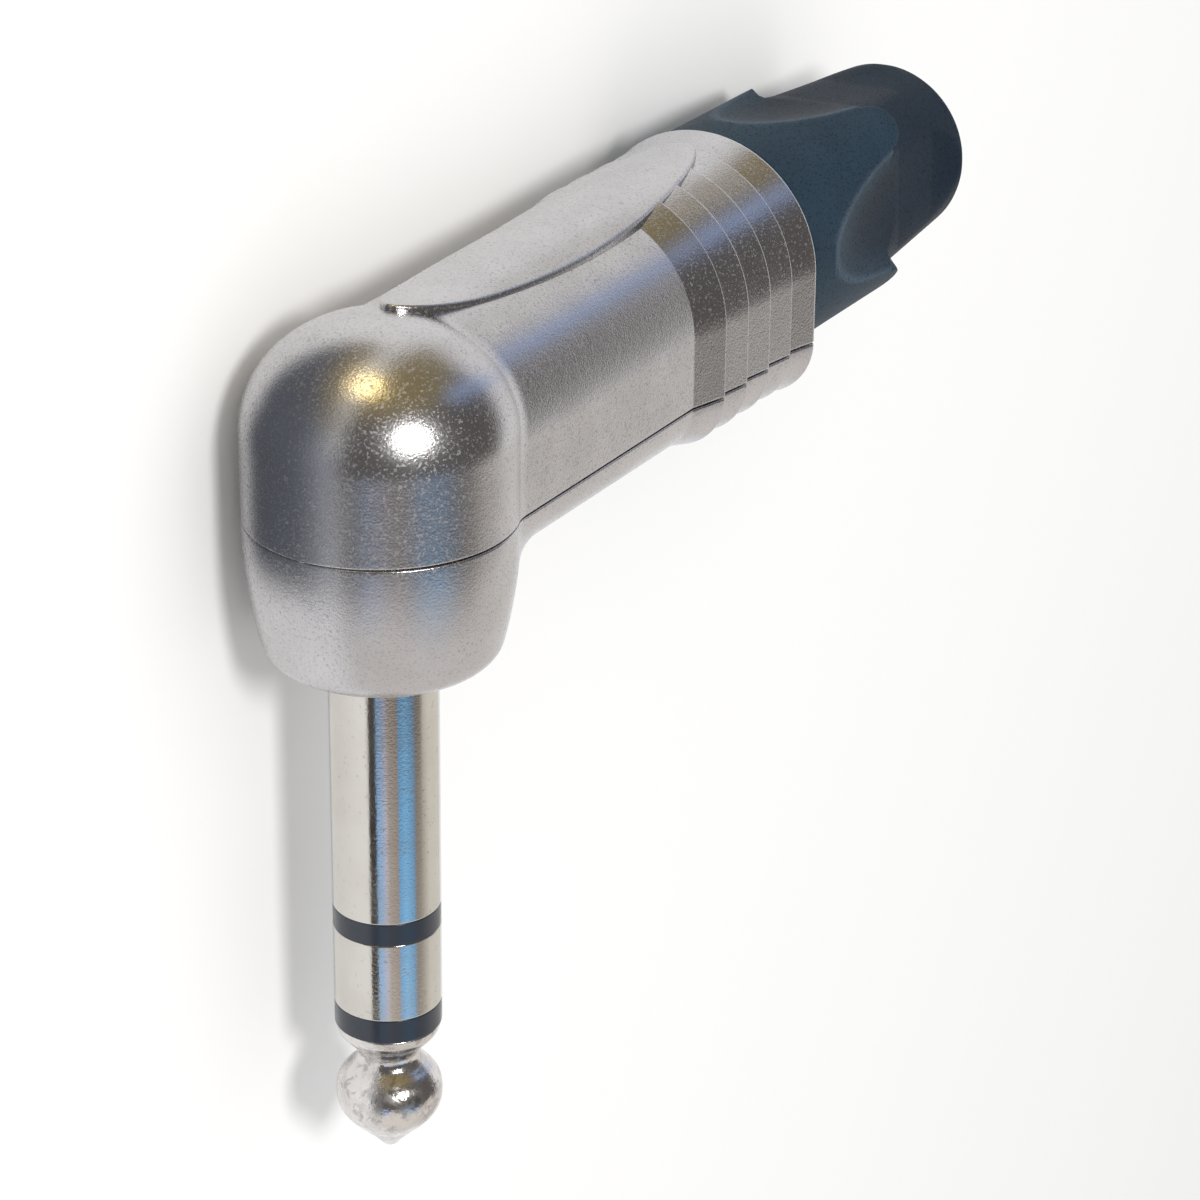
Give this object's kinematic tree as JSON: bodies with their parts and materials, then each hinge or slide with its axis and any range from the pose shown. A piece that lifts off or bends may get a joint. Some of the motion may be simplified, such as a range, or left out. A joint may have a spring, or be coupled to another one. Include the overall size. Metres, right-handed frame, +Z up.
{
  "type": "stereo jack plug",
  "caption": "Right-angle 6.35 mm jack plug with tip, ring and sleeve contacts, a ribbed two-part metal housing, a screwed gland and a scooped soft boot.",
  "frame": {"origin": "on the finger's axis, at the shoulder where the finger leaves the housing", "axes": "-Y along the finger to its tip, +X along the barrel to the cable, +Z up, with the plug lying on its side"},
  "size_m": [0.0697, 0.0534, 0.016],
  "materials": {
    "shell_nickel": "satin nickel plate on a die casting",
    "contact_nickel": "polished nickel plate on turned brass",
    "band_plastic": "smooth black moulded insulator",
    "tag_metal": "tinned stamped brass",
    "holder_plastic": "moulded black plastic",
    "liner_plastic": "thin moulded liner",
    "chuck_plastic": "natural moulded plastic",
    "nut_plastic": "hard moulded plastic",
    "boot_rubber": "fine-grained slate-grey soft plastic"
  },
  "bodies": {
    "housing": {"upper_shell": "shell_nickel", "lower_shell": "shell_nickel", "plug_sleeve": "contact_nickel", "sleeve_insulator": "band_plastic", "ring_contact": "contact_nickel", "ring_insulator": "band_plastic", "tip_contact": "contact_nickel", "sleeve_tag": "tag_metal", "contact_holder": "holder_plastic", "ring_tag": "tag_metal", "tag_washer": "band_plastic", "tip_tag": "tag_metal", "insulating_liner": "liner_plastic"},
    "chuck": {"cable_chuck": "chuck_plastic"},
    "boot": {"gland_nut": "nut_plastic", "boot": "boot_rubber"}
  },
  "joints": [
    {"name": "chuck_slide", "type": "slide", "parent": "housing", "child": "chuck", "axis": [1, 0, 0], "range_m": [0, 0.0051]},
    {"name": "boot_turn", "type": "hinge", "parent": "chuck", "child": "boot", "pos_m": [0.04, 0.013, 0], "axis": [1, 0, 0], "range_deg": [0, 1800]}
  ],
  "couplings": [
    {"joint": "chuck_slide", "follows": "boot_turn", "m_per_rad": 0.00015915}
  ]
}
